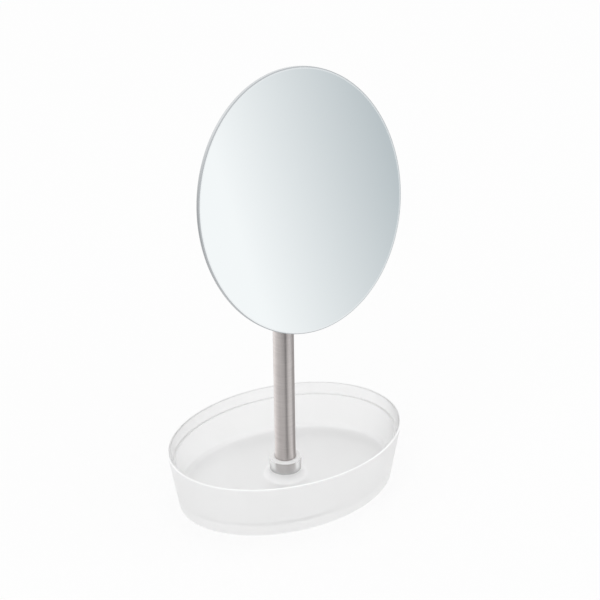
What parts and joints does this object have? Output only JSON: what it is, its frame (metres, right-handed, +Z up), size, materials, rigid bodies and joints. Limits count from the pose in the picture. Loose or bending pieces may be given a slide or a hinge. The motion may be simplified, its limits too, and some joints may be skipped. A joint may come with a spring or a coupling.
{
  "type": "vanity mirror with tray",
  "caption": "Oval frameless vanity mirror on a steel post, tilting on a friction hinge, standing in an open oval frosted tray that holds small toiletries.",
  "frame": {"origin": "middle of the tray's foot, on the surface it stands on, below the post's axis", "axes": "+Z up along the post, +X along the tray's long axis to the user's right, the mirror faces -Y"},
  "size_m": [0.1912, 0.1426, 0.3584],
  "materials": {
    "frosted_plastic": "moulded, fine frosted texture, translucent white",
    "clear_plastic": "moulded, polished, clear",
    "brushed_steel": "brushed round the tube",
    "fastener_steel": "bright zinc plate",
    "cast_metal": "die cast, satin",
    "nylon": "moulded natural nylon",
    "adhesive_foam": "closed-cell foam tape",
    "silvered_glass": "silvered float glass, polished edge"
  },
  "bodies": {
    "base": {"tray": "frosted_plastic", "post_collar": "clear_plastic", "post_tube": "brushed_steel", "foot_plug": "nylon", "base_screw": "fastener_steel", "base_washer": "fastener_steel", "post_head": "cast_metal"},
    "mirror_head": {"mirror_glass": "silvered_glass", "mounting_pad": "adhesive_foam", "mirror_bracket": "cast_metal", "pivot_bolt": "fastener_steel", "pivot_nut": "fastener_steel", "spring_washer": "fastener_steel", "friction_washers": "nylon"}
  },
  "joints": [
    {"name": "mirror_tilt", "type": "hinge", "parent": "base", "child": "mirror_head", "pos_m": [0, 0, 0.2543], "axis": [-1, 0, 0], "range_deg": [-17.7, 32.3]}
  ]
}
